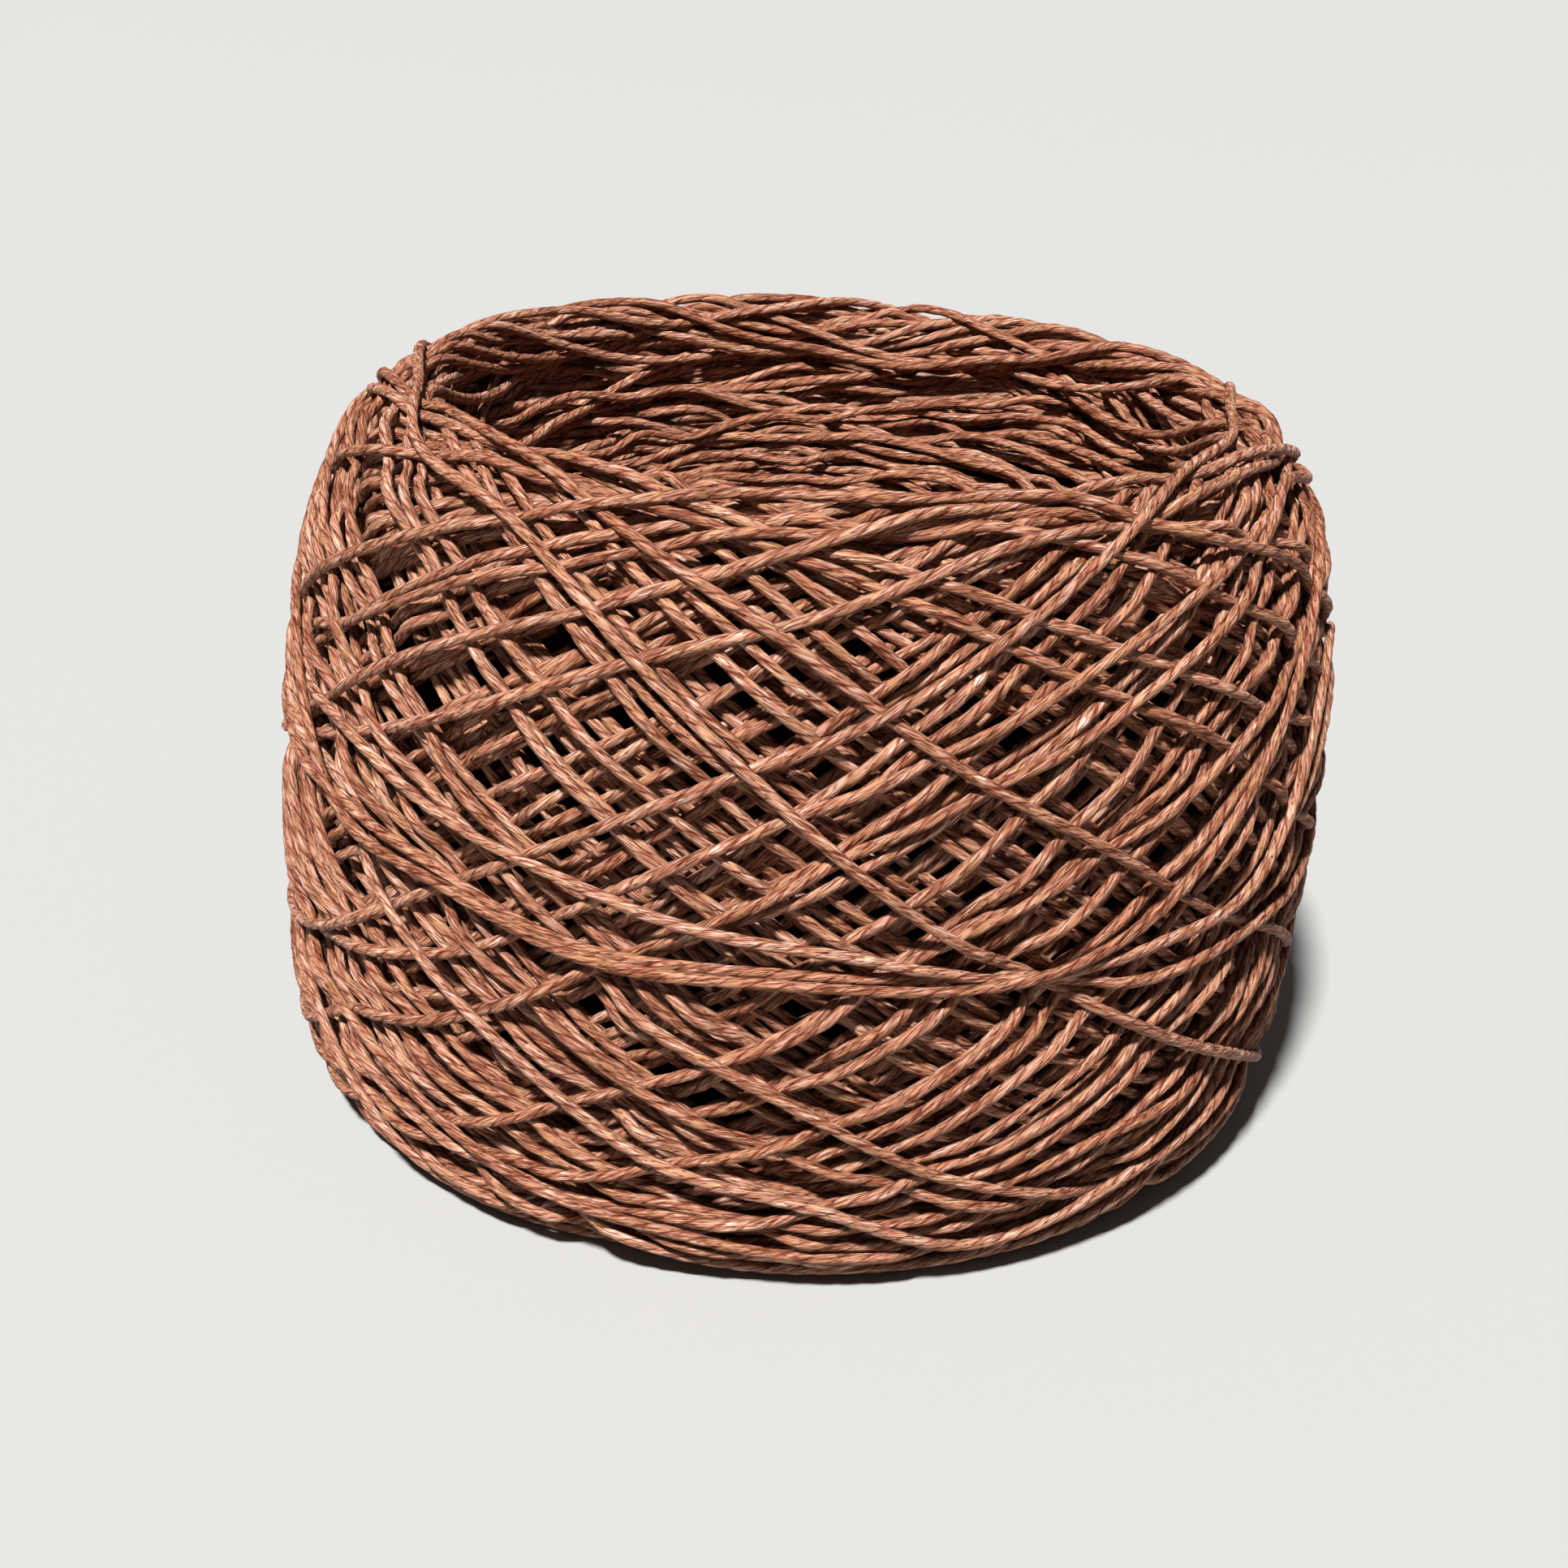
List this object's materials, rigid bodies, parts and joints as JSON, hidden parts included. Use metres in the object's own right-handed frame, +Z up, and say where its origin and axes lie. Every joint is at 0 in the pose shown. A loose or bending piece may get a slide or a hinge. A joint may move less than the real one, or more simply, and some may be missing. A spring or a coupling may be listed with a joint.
{
  "type": "ball of paper raffia yarn",
  "caption": "Cross-wound, flat-based cake of plied paper raffia yarn, with an open well in its top that leads to a core hole",
  "frame": {"origin": "middle of the flat base, where the cake stands", "axes": "+Z up along the core hole; X and Y are level, and the drum is round about +Z"},
  "size_m": [0.1244, 0.124, 0.083],
  "materials": {
    "raffia_paper": "satin twisted paper"
  },
  "bodies": {
    "root": {"wound_yarn": "raffia_paper"}
  },
  "joints": []
}
